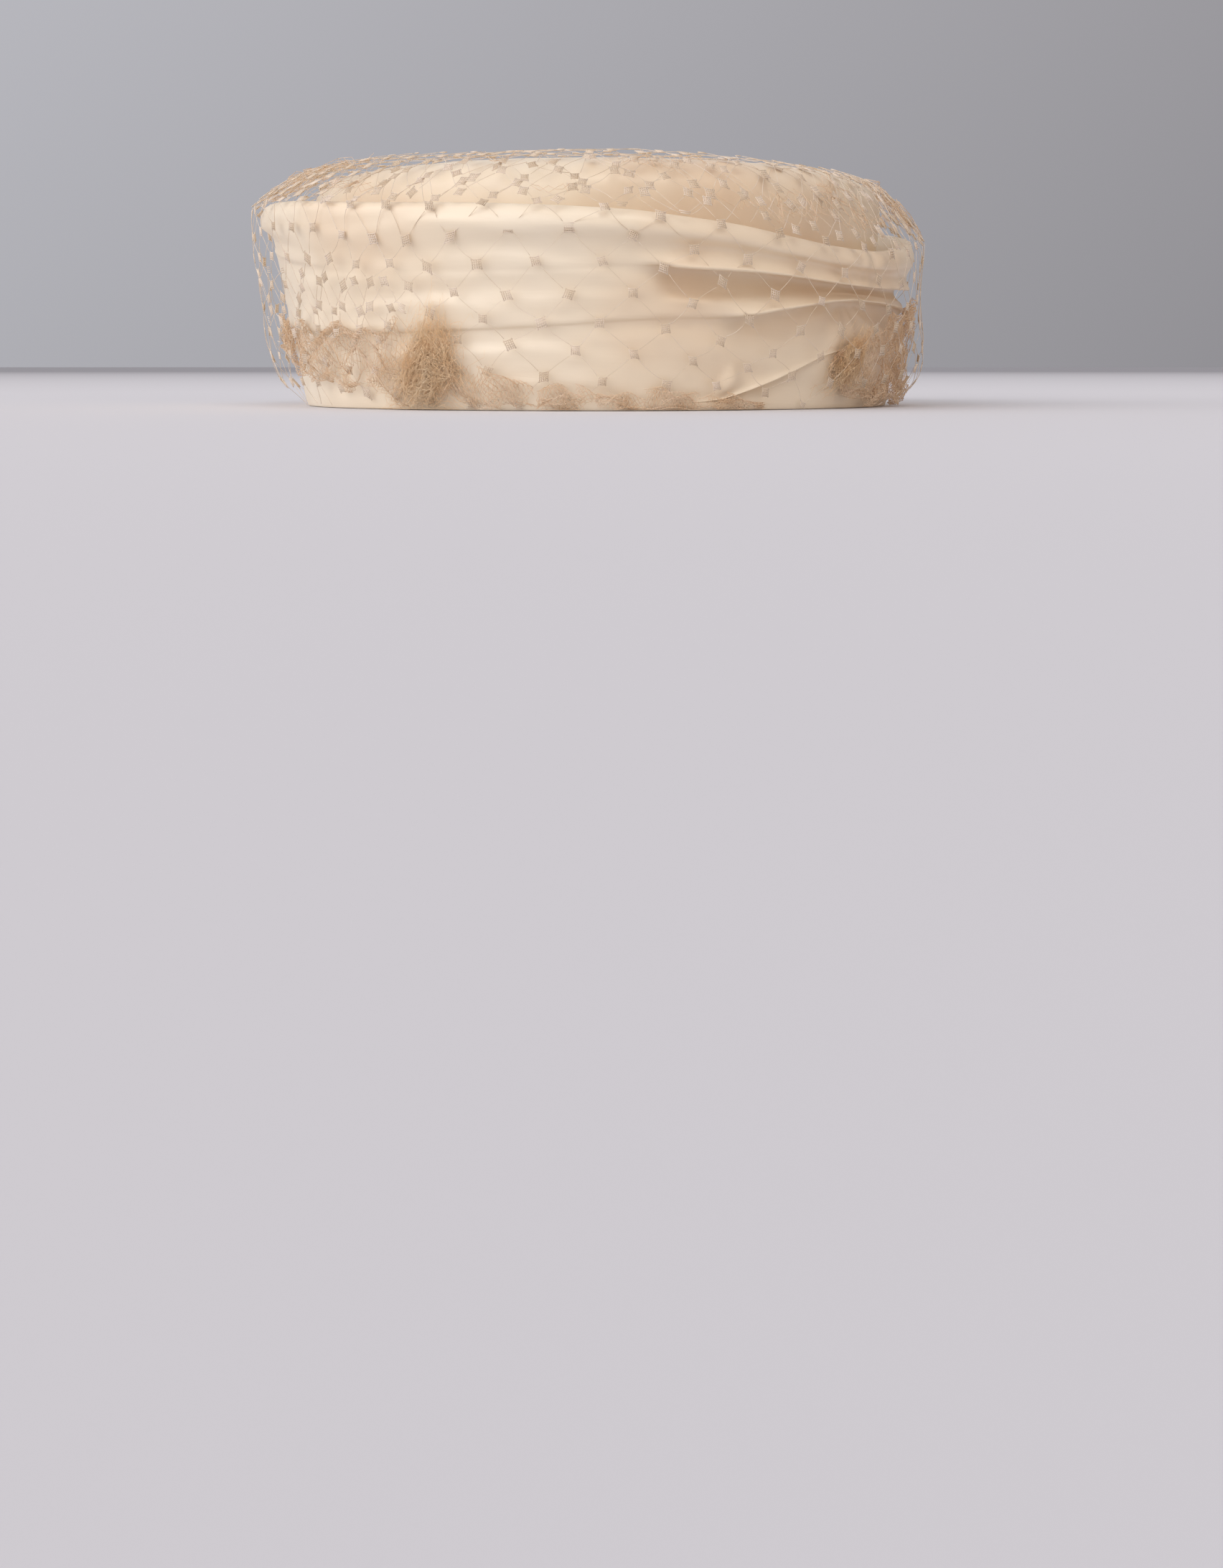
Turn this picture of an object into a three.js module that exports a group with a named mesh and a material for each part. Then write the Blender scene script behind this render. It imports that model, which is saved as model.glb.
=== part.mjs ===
// A satin pillbox hat with a net veil, in millimetres, +Z up, standing on its rim at z = 0.
//
// +Y is the front of the hat and +X the wearer's right. Azimuth is measured round the hat in degrees: 0 at the back
// centre (-Y), 90 at the wearer's right (+X), 180 at the front and -90 at the wearer's left. Every horizontal ring
// is an ellipse: its "radius" is its half width along X, and its half depth along Y is DEPTH_RATIO times that.
//
// The hat is an inner crown, a draped band of satin that stands round it, a flat facing ring that closes the rim
// between the two, and a veil of net over all of it, gathered into rolls and two tufts round the lower edge.
import * as THREE from "three";
import { mergeVertices } from "three/addons/utils/BufferGeometryUtils.js";

const RIM_RADIUS = 91; // outer half width at the rim
const DEPTH_RATIO = 1.077; // half depth over half width, as the head is longer than wide
const OPENING_RADIUS = 78; // half width of the head opening
const WALL = 2; // satin over its interlining, and the buckram of the crown
const GAP = 0.4; // clearance between pieces
const FACING_THICKNESS = 2;
const CROWN_EDGE_RADIUS = 88.5; // crown's half width where its side turns into its top
const CROWN_EDGE_HEIGHT = 57;
const CROWN_HEIGHT = 71;
const VEIL_THICKNESS = 1;
const VEIL_OVER_CROWN = 3.6; // how far the veil's outer face lies above the crown
const VEIL_LIFTS_FROM = 0.4; // share of the veil's height below which it lies close on the satin
const VEIL_HANGS_FREE = 0.65; // share of its height where it hangs off by its whole slack
const VEIL_SLACK_AT_EDGE = 0.4; // share of the slack that is left where it passes the band's top edge
const CROWN_SHOULDER_DROP = 8; // how far the rounded shoulder starts below the crown's top
const TOP_ROLL = 3; // radius of the band's rolled top edge
const BAND_MEETS_CROWN = 6.5; // how far below its top edge the band comes to the crown
const FOOT_ROUND = 0.8; // how far the band's foot is drawn in under it

const BAND_STEPS = 72; // sections round the hat
const CROWN_STEPS = 48;
const VEIL_STEPS = 60;
const ROLL_STEPS = 12; // sections along a net roll
const ROLL_SIDES = 8;

// The band, section by section: the height of its top edge, how far the top edge leans out past the rim, the heights
// of the two fold lines, how deep the satin is hollowed under the upper fold, how far the veil hangs off the satin,
// and the height of the veil's lower edge.
const BAND_SECTIONS = [
  { azimuth: -180, edge: 58, lean: 10, upper: 46, lower: 24, hollow: 0.4, slack: 4.5, hem: 3.5 },
  { azimuth: -135, edge: 59, lean: 11, upper: 47.5, lower: 24.5, hollow: 0.4, slack: 5, hem: 3.5 },
  { azimuth: -90, edge: 59.5, lean: 12, upper: 48, lower: 25.5, hollow: 0.6, slack: 5.5, hem: 3.5 },
  { azimuth: -65, edge: 58.8, lean: 11.5, upper: 42.5, lower: 22, hollow: 0.4, slack: 5, hem: 4 },
  { azimuth: -40, edge: 56, lean: 10.8, upper: 38, lower: 21, hollow: 0.2, slack: 3, hem: 8 },
  { azimuth: -12, edge: 54, lean: 10.2, upper: 37, lower: 22.2, hollow: 0.2, slack: 1.5, hem: 9.5 },
  { azimuth: 9, edge: 51.8, lean: 9.7, upper: 38.4, lower: 24.3, hollow: 0.6, slack: 1.5, hem: 9.5 },
  { azimuth: 25, edge: 48.6, lean: 9, upper: 37.5, lower: 25.6, hollow: 2, slack: 1.5, hem: 9 },
  { azimuth: 45, edge: 44.5, lean: 8, upper: 34.6, lower: 29, hollow: 2, slack: 2, hem: 4 },
  { azimuth: 60, edge: 44.5, lean: 7.6, upper: 34, lower: 28.6, hollow: 1.2, slack: 3, hem: 3.5 },
  { azimuth: 90, edge: 51, lean: 7, upper: 35.5, lower: 28.5, hollow: 1.6, slack: 4, hem: 3.5 },
  { azimuth: 130, edge: 57, lean: 8.5, upper: 42, lower: 25, hollow: 0.8, slack: 5, hem: 3.5 },
];
const TIER_BULGE = 1.3; // how far each tier of satin swells between its fold lines
const FOLD_NOTCH = 0.7; // depth of the groove along a fold line
const NOTCH_HALF_WIDTH = 2.2;

// The rolls of bunched net: where each one's centre line runs, and its half height.
const ROLLS = {
  net_roll_left: [
    { azimuth: -104, height: 23, half: 1.2 },
    { azimuth: -92, height: 22.3, half: 2.6 },
    { azimuth: -76, height: 20.2, half: 3.2 },
    { azimuth: -60, height: 16.8, half: 3.4 },
    { azimuth: -41.5, height: 14.5, half: 3 },
  ],
  net_roll_back: [
    { azimuth: -18.5, height: 7.6, half: 3 },
    { azimuth: -11, height: 5.2, half: 2.4 },
    { azimuth: 0, height: 4.2, half: 1.9 },
    { azimuth: 14, height: 3.8, half: 1.4 },
    { azimuth: 28, height: 3.2, half: 0.8 },
  ],
  net_roll_right: [
    { azimuth: 58.5, height: 13.5, half: 3.4 },
    { azimuth: 70, height: 16, half: 4.2 },
    { azimuth: 84, height: 19.5, half: 3.8 },
    { azimuth: 98, height: 22.5, half: 2.4 },
    { azimuth: 108, height: 23.5, half: 1.2 },
  ],
};
const ROLL_FLATNESS = 0.55; // half thickness over half height

// The tufts that hold the gathered net: where each sits, and its half width, half height and half thickness.
const TUFTS = {
  net_tuft_left: { azimuth: -30, height: 12, wide: 8.2, tall: 10, thick: 3.2 },
  net_tuft_right: { azimuth: 51, height: 13.5, wide: 5.6, tall: 7, thick: 2.6 },
};
const TUFT_DETAIL = 3;
const TUFT_LUMP = 0.1; // share of its size by which a tuft's surface rises and falls

const SATIN = new THREE.MeshStandardMaterial({ color: 0xf0dfbe, roughness: 0.42, metalness: 0 });
const FACING = new THREE.MeshStandardMaterial({ color: 0xc9b391, roughness: 0.9, metalness: 0 });
const NET = new THREE.MeshStandardMaterial({ color: 0xb89a78, roughness: 0.85, metalness: 0 });

const radians = THREE.MathUtils.degToRad;

// A column of a table at any azimuth, as a cubic through its rows that closes round the hat.
function around(rows, column, azimuth) {
  const count = rows.length;
  const turned = THREE.MathUtils.euclideanModulo(azimuth + 180, 360) - 180;
  const row = (i) => {
    const turn = Math.floor(i / count);
    const at = rows[i - turn * count];
    return { at: at.azimuth + 360 * turn, value: at[column] };
  };
  let i = 0;
  while (row(i + 1).at <= turned) i += 1;
  return cubic(row(i - 1), row(i), row(i + 1), row(i + 2), turned);
}

// The value at a place between b and c, on the cubic whose slope at each is that of the line between its neighbours.
function cubic(a, b, c, d, place) {
  const span = c.at - b.at;
  const t = (place - b.at) / span;
  const slopeB = ((c.value - a.value) / (c.at - a.at)) * span;
  const slopeC = ((d.value - b.value) / (d.at - b.at)) * span;
  return (
    (1 + 2 * t) * (1 - t) ** 2 * b.value +
    t * (1 - t) ** 2 * slopeB +
    t * t * (3 - 2 * t) * c.value +
    t * t * (t - 1) * slopeC
  );
}

function bandRow(azimuth) {
  const names = ["edge", "lean", "upper", "lower", "hollow", "slack", "hem"];
  return Object.fromEntries(names.map((name) => [name, around(BAND_SECTIONS, name, azimuth)]));
}

// A point of the ring of that radius and height.
function ringPoint(radius, azimuth, height) {
  const angle = radians(azimuth);
  return new THREE.Vector3(radius * Math.sin(angle), -radius * DEPTH_RATIO * Math.cos(angle), height);
}

// 1 on the line, falling smoothly to 0 at half a width away.
function bump(distance, halfWidth) {
  const t = Math.min(Math.abs(distance) / halfWidth, 1);
  return (1 - t * t) ** 2;
}

// The outer radius of the satin: a straight lean from the rim, plus the swell of the tier that the height is in, less
// the groove along each fold line and the hollow under the upper one.
function bandRadius(azimuth, height) {
  const { edge, lean, upper, lower, hollow } = bandRow(azimuth);
  const tiers = [0, lower, upper, edge];
  const tier = height < lower ? 0 : height < upper ? 1 : 2;
  const middle = (tiers[tier] + tiers[tier + 1]) / 2;
  const swell = TIER_BULGE * bump(height - middle, (tiers[tier + 1] - tiers[tier]) / 2);
  const grooves = bump(height - upper, NOTCH_HALF_WIDTH) + bump(height - lower, NOTCH_HALF_WIDTH);
  const hollowed = hollow * bump(height - (upper - NOTCH_HALF_WIDTH), 2 * NOTCH_HALF_WIDTH);
  return RIM_RADIUS + (lean * height) / edge + swell - FOLD_NOTCH * grooves - hollowed;
}

// The crown's outer radius at a height on its side wall.
function crownSideRadius(height) {
  return OPENING_RADIUS + WALL + ((CROWN_EDGE_RADIUS - OPENING_RADIUS - WALL) * height) / CROWN_EDGE_HEIGHT;
}

// Each profile below is a list of [radius, height] pairs.

// The band's section is a hook: up the outside, over the rolled top edge, down to the crown, and back inside.
function bandProfile(azimuth) {
  const { edge, upper, lower } = bandRow(azimuth);
  const heights = [
    0,
    1.2,
    lower / 2,
    lower - NOTCH_HALF_WIDTH,
    lower,
    lower + NOTCH_HALF_WIDTH * 0.6,
    (lower + upper) / 2,
    upper - NOTCH_HALF_WIDTH * 0.6,
    upper,
    upper + NOTCH_HALF_WIDTH,
    edge - TOP_ROLL,
  ];
  const outside = heights.map((height) => [bandRadius(azimuth, height), height]);
  outside[0][0] -= FOOT_ROUND;
  const top = bandRadius(azimuth, edge - TOP_ROLL);
  const meets = edge - BAND_MEETS_CROWN;
  const crown = crownSideRadius(meets) + GAP;
  const rolled = [
    [top - 0.8, edge - 0.8],
    [top - TOP_ROLL, edge],
    [top - 1.8 * TOP_ROLL, edge - 1.2],
    [Math.max(crown + 0.6, top - 3.4 * TOP_ROLL), edge - 4.2],
    [crown, meets],
    [crown + WALL, meets - 1],
    [Math.max(crown + WALL + 0.3, top - 2.6 * TOP_ROLL), edge - 5],
    [top - 1.3 * TOP_ROLL, edge - WALL - 1.4],
  ];
  const inside = heights.filter((height, i) => i !== 1 && i !== 5 && i !== 7).reverse();
  return [...outside, ...rolled, ...inside.map((height) => [bandRadius(azimuth, height) - WALL, height])];
}

// The crown is a cap: its side leans out from the head opening to a rounded shoulder under a gently domed top.
function crownProfile() {
  const foot = FACING_THICKNESS + GAP;
  const middle = CROWN_EDGE_HEIGHT / 2;
  return [
    [0, CROWN_HEIGHT],
    [CROWN_EDGE_RADIUS * 0.5, CROWN_HEIGHT - 0.6],
    [CROWN_EDGE_RADIUS * 0.8, CROWN_HEIGHT - 2],
    [CROWN_EDGE_RADIUS * 0.91, CROWN_HEIGHT - 4.2],
    [CROWN_EDGE_RADIUS * 0.975, CROWN_HEIGHT - CROWN_SHOULDER_DROP],
    [CROWN_EDGE_RADIUS, CROWN_EDGE_HEIGHT],
    [crownSideRadius(middle), middle],
    [crownSideRadius(foot), foot],
    [crownSideRadius(foot) - WALL, foot],
    [crownSideRadius(middle) - WALL, middle],
    [CROWN_EDGE_RADIUS - WALL, CROWN_EDGE_HEIGHT],
    [CROWN_EDGE_RADIUS * 0.975 - WALL, CROWN_HEIGHT - CROWN_SHOULDER_DROP - WALL / 2],
    [CROWN_EDGE_RADIUS * 0.89, CROWN_HEIGHT - 4.2 - WALL],
    [CROWN_EDGE_RADIUS * 0.79, CROWN_HEIGHT - 2 - WALL],
    [CROWN_EDGE_RADIUS * 0.5, CROWN_HEIGHT - 0.6 - WALL],
    [0, CROWN_HEIGHT - WALL],
  ];
}

// The facing closes the rim from the head opening to the foot of the band.
function facingProfile() {
  const outer = RIM_RADIUS - FOOT_ROUND - WALL - GAP;
  return [
    [OPENING_RADIUS, 0],
    [outer, 0],
    [outer, FACING_THICKNESS],
    [OPENING_RADIUS, FACING_THICKNESS],
  ];
}

// The veil's outer radius. It clears the swell of every tier, lies close on the satin near its hem, and hangs off it
// by its slack higher up, less again towards the band's top edge.
function veilRadius(azimuth, height) {
  const { edge, lean, slack, hem } = bandRow(azimuth);
  const share = (height - hem) / (edge - hem);
  const lifted = THREE.MathUtils.smoothstep(share, VEIL_LIFTS_FROM, VEIL_HANGS_FREE);
  const drawnIn = (1 - VEIL_SLACK_AT_EDGE) * THREE.MathUtils.smoothstep(share, VEIL_HANGS_FREE, 1);
  return RIM_RADIUS + (lean * height) / edge + TIER_BULGE + GAP + slack * (lifted - drawnIn) + VEIL_THICKNESS;
}

// The veil is a thin cap over the crown and the band, open below.
function veilProfile(azimuth) {
  const { edge, lean, hem } = bandRow(azimuth);
  const shares = [0, 0.2, 0.4, 0.6, 0.8, 0.94];
  const widest = RIM_RADIUS + lean + VEIL_THICKNESS;
  const side = shares.map((share) => {
    const height = hem + share * (edge - hem);
    return [veilRadius(azimuth, height), height];
  });
  const over = CROWN_HEIGHT + VEIL_OVER_CROWN;
  const shoulder = [
    [widest - 1.5, edge + 4.2],
    [(CROWN_EDGE_RADIUS + widest) / 2, (edge + over) / 2 + 1.8],
    [CROWN_EDGE_RADIUS * 0.9, over - 1.2],
    [CROWN_EDGE_RADIUS * 0.6, over],
    [0, over],
  ];
  const outer = [...side, ...shoulder];
  const inner = outer.map(([radius, height], i) => {
    const onSide = i < side.length;
    const onCorner = i === side.length || i === side.length + 1;
    const inward = onSide ? VEIL_THICKNESS : onCorner ? 0.75 * VEIL_THICKNESS : 0;
    const down = onSide ? 0 : onCorner ? 0.75 * VEIL_THICKNESS : VEIL_THICKNESS;
    return [radius - inward, height - down];
  });
  return [...outer.reverse(), ...inner];
}

// A closed skin over a grid of points: the rows go round the hat, or along a roll, and each row is a section. Where
// rows or sections close on themselves the last one joins the first. Points that coincide become one, as at a pole.
function skin(rows, { rowsClose, sectionsClose }) {
  const width = rows[0].length;
  const corner = (i, j) => (i % rows.length) * width + (j % width);
  const faces = [];
  for (let i = 0; i < rows.length - (rowsClose ? 0 : 1); i += 1) {
    for (let j = 0; j < width - (sectionsClose ? 0 : 1); j += 1) {
      faces.push([corner(i, j), corner(i + 1, j), corner(i + 1, j + 1)]);
      faces.push([corner(i, j), corner(i + 1, j + 1), corner(i, j + 1)]);
    }
  }
  const positions = new Float32Array(rows.flat().flatMap((point) => point.toArray()));
  const geometry = new THREE.BufferGeometry();
  geometry.setAttribute("position", new THREE.BufferAttribute(positions, 3));
  geometry.setIndex(faces.flat());
  return facingOut(mergeVertices(geometry, 1e-3));
}

// The geometry without the triangles that a merge has flattened, and with its faces turned out.
function facingOut(geometry) {
  const position = geometry.getAttribute("position");
  const index = geometry.getIndex().array;
  const point = (i) => new THREE.Vector3().fromBufferAttribute(position, i);
  const faces = [];
  let volume = 0;
  for (let i = 0; i < index.length; i += 3) {
    const [a, b, c] = index.slice(i, i + 3);
    if (a === b || b === c || c === a) continue;
    faces.push([a, b, c]);
    volume += point(a).dot(point(b).cross(point(c))) / 6;
  }
  geometry.setIndex(faces.flatMap(([a, b, c]) => (volume > 0 ? [a, b, c] : [a, c, b])));
  geometry.computeVertexNormals();
  return geometry;
}

// A profile carried round the hat. A profile that starts and ends on the axis makes a cap, and any other a ring.
function turned(profileAt, steps) {
  const azimuths = Array.from({ length: steps }, (_, i) => (360 * i) / steps - 180);
  const rows = azimuths.map((azimuth) =>
    profileAt(azimuth).map(([radius, height]) => ringPoint(radius, azimuth, height)),
  );
  const onAxis = profileAt(0)[0][0] === 0;
  return skin(rows, { rowsClose: true, sectionsClose: !onAxis });
}

// A roll of net lying against the veil: flat ovals along its route, drawn in to a point at each end.
function netRoll(route) {
  const stations = route.map(({ azimuth, height, half }) => new THREE.Vector3(azimuth, height, half));
  const curve = new THREE.CatmullRomCurve3(stations);
  const first = stations[0].x;
  const last = stations[stations.length - 1].x;
  const rows = [];
  for (let i = 0; i <= ROLL_STEPS; i += 1) {
    const { x: azimuth, y: height, z: half } = curve.getPoint(i / ROLL_STEPS);
    const endwise = Math.min(Math.abs(azimuth - first), Math.abs(azimuth - last));
    const size = half * Math.sqrt(Math.min(endwise / 4, 1));
    const thick = size * ROLL_FLATNESS;
    const centre = veilRadius(azimuth, height + half) + half * ROLL_FLATNESS + GAP;
    const oval = Array.from({ length: ROLL_SIDES }, (_, j) => {
      const angle = (2 * Math.PI * j) / ROLL_SIDES;
      return ringPoint(centre + thick * Math.cos(angle), azimuth, height + size * Math.sin(angle));
    });
    rows.push(oval);
  }
  return skin(rows, { rowsClose: false, sectionsClose: true });
}

// A tuft of crumpled net: a lumpy cushion lying against the veil.
function netTuft({ azimuth, height, wide, tall, thick }) {
  const ball = new THREE.IcosahedronGeometry(1, TUFT_DETAIL);
  ball.deleteAttribute("normal");
  ball.deleteAttribute("uv");
  const geometry = mergeVertices(ball, 1e-4);
  const position = geometry.getAttribute("position");
  const scale = new THREE.Vector3(wide, thick, tall);
  const point = new THREE.Vector3();
  for (let i = 0; i < position.count; i += 1) {
    point.fromBufferAttribute(position, i);
    const lumps = Math.sin(5 * point.x + 2 * point.z) * Math.cos(4 * point.z - 3 * point.y);
    point.multiplyScalar(1 + TUFT_LUMP * lumps).multiply(scale);
    position.setXYZ(i, point.x, point.y, point.z);
  }
  const surface = veilRadius(azimuth, height + tall / 2);
  const centre = ringPoint(surface + thick * (1 + TUFT_LUMP) + GAP, azimuth, height);
  const outward = Math.atan2(Math.sin(radians(azimuth)) * DEPTH_RATIO, Math.cos(radians(azimuth)));
  geometry.rotateZ(outward);
  geometry.translate(centre.x, centre.y, centre.z);
  return facingOut(geometry);
}

function piece(name, geometry, material) {
  const mesh = new THREE.Mesh(geometry, material);
  mesh.name = name;
  return mesh;
}

const hat = new THREE.Group();
hat.add(piece("crown", turned(crownProfile, CROWN_STEPS), SATIN));
hat.add(piece("draped_band", turned(bandProfile, BAND_STEPS), SATIN));
hat.add(piece("rim_facing", turned(facingProfile, BAND_STEPS), FACING));
hat.add(piece("veil", turned(veilProfile, VEIL_STEPS), NET));
for (const [name, route] of Object.entries(ROLLS)) hat.add(piece(name, netRoll(route), NET));
for (const [name, place] of Object.entries(TUFTS)) hat.add(piece(name, netTuft(place), NET));

// The origin is the middle of the hat's footprint box, on the surface it stands on.
const footprint = new THREE.Box3().setFromObject(hat).getCenter(new THREE.Vector3());
hat.position.set(-footprint.x, -footprint.y, 0);

export default hat;
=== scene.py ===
"""The looks of a cream satin pillbox hat with a net veil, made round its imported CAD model.

Shapes are worked out in millimetres, and a mesh is put into metres as it is made. Azimuth is measured in
degrees round the hat, from 0 at the back centre (-Y), through 90 at the wearer's right (+X), to 180 at
the front. Every horizontal ring is an ellipse whose "radius" is its half width along X.
"""

import math

import bpy
import numpy as np
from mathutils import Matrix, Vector


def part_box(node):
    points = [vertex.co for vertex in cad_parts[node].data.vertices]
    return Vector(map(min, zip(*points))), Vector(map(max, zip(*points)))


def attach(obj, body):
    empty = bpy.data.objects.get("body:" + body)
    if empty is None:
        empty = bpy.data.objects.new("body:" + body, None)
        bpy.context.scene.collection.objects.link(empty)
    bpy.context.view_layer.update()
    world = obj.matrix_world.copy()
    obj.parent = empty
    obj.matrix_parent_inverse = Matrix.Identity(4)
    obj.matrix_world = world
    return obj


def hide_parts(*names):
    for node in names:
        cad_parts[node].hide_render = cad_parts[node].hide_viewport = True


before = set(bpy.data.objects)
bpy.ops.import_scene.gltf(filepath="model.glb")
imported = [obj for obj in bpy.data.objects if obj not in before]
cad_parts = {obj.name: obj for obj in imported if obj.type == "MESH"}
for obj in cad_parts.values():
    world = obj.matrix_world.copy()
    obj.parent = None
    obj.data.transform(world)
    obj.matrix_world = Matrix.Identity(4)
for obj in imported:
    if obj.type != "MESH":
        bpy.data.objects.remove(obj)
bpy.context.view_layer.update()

MM = 0.001  # metres

# --------------------------------------------------
# Places that come from the CAD model
# --------------------------------------------------


def box_mm(node):
    """The lowest and highest corner of a CAD node, in millimetres."""
    low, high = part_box(node)
    return np.array(low) / MM, np.array(high) / MM


facing_low, facing_high = box_mm("rim_facing")
crown_low, crown_high = box_mm("crown")
AXIS = (facing_low + facing_high) / 2  # the upright line that the rings are centred on
AXIS[2] = 0
FACING_RADIUS = (facing_high[0] - facing_low[0]) / 2
DEPTH_RATIO = (facing_high[1] - facing_low[1]) / (facing_high[0] - facing_low[0])
FACING_TOP = facing_high[2]
CROWN_TOP = crown_high[2]
CROWN_RADIUS = (crown_high[0] - crown_low[0]) / 2
SHOULDER = 14.0  # from the top of the crown down to the shoulder's widest place
CROWN_EDGE = CROWN_TOP - SHOULDER

WALL = 2.0  # satin over its interlining
SEAM = 0.4  # the gap between the facing and its neighbours
BAND_FOOT = FACING_RADIUS + SEAM + WALL  # outer radius of the band's foot
RIM_RADIUS = BAND_FOOT + 0.8
OPENING_RADIUS = 78.0
DEGREE = math.radians(1) * RIM_RADIUS * 1.06  # about the length of a degree round the band

# --------------------------------------------------
# The drape, section by section
# --------------------------------------------------

# Heights of the top edge and of the upper, lower and third fold; how far the top edge leans out past the
# rim; how each fold laps (1: the satin above laps over the satin below, 0: a faint crease, -1: the satin
# below laps over); how deep the satin is hollowed under the upper and the lower fold; how far the top
# tier swells; and how far the net hangs off the satin.
SECTION_COLUMNS = (
    "azimuth", "edge", "lean", "upper", "lower", "third",
    "lap_upper", "lap_lower", "lap_third", "hollow_upper", "hollow_lower", "swell", "slack",
)  # fmt: skip
SECTIONS = np.array([
    (-180, 58.0, 10.0, 43.0, 28.0, 12.0, 1.0, 0.8, 0.3, 2.2, 1.2, 1.8, 6.0),
    (-150, 58.8, 10.6, 47.0, 22.5, 8.0, 0.8, 1.0, 0.0, 1.4, 2.2, 2.2, 6.6),
    (-120, 59.2, 11.3, 47.0, 25.5, 11.0, 0.2, 0.6, 0.0, 1.4, 1.4, 2.4, 7.2),
    (-90, 59.5, 12.0, 48.0, 25.5, 11.0, -0.1, 0.1, 0.0, 1.4, 0.8, 2.4, 7.0),
    (-65, 58.8, 11.5, 42.5, 22.0, 10.0, 0.0, 0.2, 0.0, 1.4, 1.2, 1.7, 3.2),
    (-40, 56.0, 10.8, 38.0, 21.0, 10.0, 0.0, 0.2, 0.0, 0.3, 0.2, 0.9, 1.2),
    (-12, 54.0, 10.2, 37.0, 22.2, 9.0, 0.0, 0.2, 0.0, -0.2, 0.0, 0.6, 1.0),
    (5, 52.5, 9.8, 38.0, 24.0, 4.0, 0.05, 0.2, 0.0, -0.2, 0.0, 0.5, 1.0),
    (9, 51.8, 9.7, 38.4, 24.3, 2.8, 0.3, 0.2, 0.0, 0.6, 0.0, 0.4, 1.0),
    (13, 51.0, 9.5, 38.2, 24.5, 2.2, 1.0, 0.15, 0.0, 3.2, 0.0, -0.2, 1.0),
    (21, 49.5, 9.2, 37.8, 24.9, 2.8, 1.15, 0.4, 0.15, 4.2, 0.1, -0.6, 1.1),
    (25, 48.6, 9.0, 37.5, 25.8, 4.4, 1.15, 1.0, 0.5, 4.2, 0.8, -0.6, 1.2),
    (32, 46.8, 8.6, 36.6, 27.8, 8.2, 1.15, 1.1, 0.6, 3.6, 1.8, -0.5, 1.4),
    (45, 44.5, 8.0, 34.6, 30.4, 15.6, 1.0, 1.0, 0.12, 1.6, 2.4, 0.1, 2.4),
    (60, 44.5, 7.6, 34.0, 29.8, 17.0, 0.8, 0.6, 0.0, 1.4, 2.0, 0.9, 4.0),
    (90, 51.0, 7.0, 36.0, 27.5, 14.0, 0.8, 0.3, 0.0, 2.0, 1.0, 1.6, 7.0),
    (120, 56.0, 8.0, 43.0, 22.5, 9.0, 0.8, 0.9, 0.0, 1.8, 1.8, 1.6, 7.0),
    (150, 57.5, 9.2, 40.0, 26.5, 11.0, 1.0, 0.6, 0.4, 2.4, 0.8, 1.6, 6.4),
])  # fmt: skip


def cubic(at, value, place):
    """Cubics through the points (at, value): the slope at a point is that of the line between its
    neighbours."""
    slope = np.empty(len(at))
    slope[1:-1] = (value[2:] - value[:-2]) / (at[2:] - at[:-2])
    slope[0] = (value[1] - value[0]) / (at[1] - at[0])
    slope[-1] = (value[-1] - value[-2]) / (at[-1] - at[-2])
    i = np.clip(np.searchsorted(at, place, side="right") - 1, 0, len(at) - 2)
    span = at[i + 1] - at[i]
    t = np.clip((place - at[i]) / span, 0, 1)
    low = (1 + 2 * t) * (1 - t) ** 2 * value[i] + t * (1 - t) ** 2 * slope[i] * span
    return low + t * t * (3 - 2 * t) * value[i + 1] + t * t * (t - 1) * slope[i + 1] * span


def section(azimuth):
    """Every column of the table at those azimuths, as cubics that close round the hat."""
    around = (np.asarray(azimuth, float) + 180) % 360 - 180
    at = SECTIONS[:, 0]
    at = np.concatenate([at[-3:] - 360, at, at[:3] + 360])
    columns = np.concatenate([SECTIONS[-3:], SECTIONS, SECTIONS[:3]])
    return {name: cubic(at, columns[:, i], around) for i, name in enumerate(SECTION_COLUMNS) if i}


def ring_points(radius, azimuth, height):
    """Points on the rings of those radii and heights: the ellipse turned by the azimuth from -Y towards
    +X."""
    angle = np.radians(azimuth)
    across = radius * np.sin(angle)
    along = -radius * DEPTH_RATIO * np.cos(angle)
    return np.stack(np.broadcast_arrays(AXIS[0] + across, AXIS[1] + along, height), axis=-1)


def smooth_step(value, low, high):
    """0 below low and 1 above high, with a level start and end."""
    t = np.clip((value - low) / (high - low), 0, 1)
    return t * t * (3 - 2 * t)


def swell(distance, half_width):
    """1 at distance 0, falling smoothly to 0 at half_width: (1 - t^2)^2."""
    t = np.clip(np.abs(distance) / half_width, 0, 1)
    return (1 - t * t) ** 2


def ripples(azimuth, along, seed, turns, pitch, count=6):
    """Uneven waves over the azimuth and a length in millimetres: the sum of `count` sine waves over the
    root of their number. Each goes up to `turns` times round the hat, is `pitch` millimetres or more long
    the other way, and has a seeded phase."""
    random = np.random.default_rng(seed)
    total = 0.0
    for _ in range(count):
        around = random.integers(-turns, turns + 1)
        length = pitch * random.uniform(1.0, 2.2) * random.choice([-1, 1])
        phase = random.uniform(0, 2 * np.pi)
        total = total + np.sin(around * np.radians(azimuth) + 2 * np.pi * along / length + phase)
    return total / math.sqrt(count)


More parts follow.
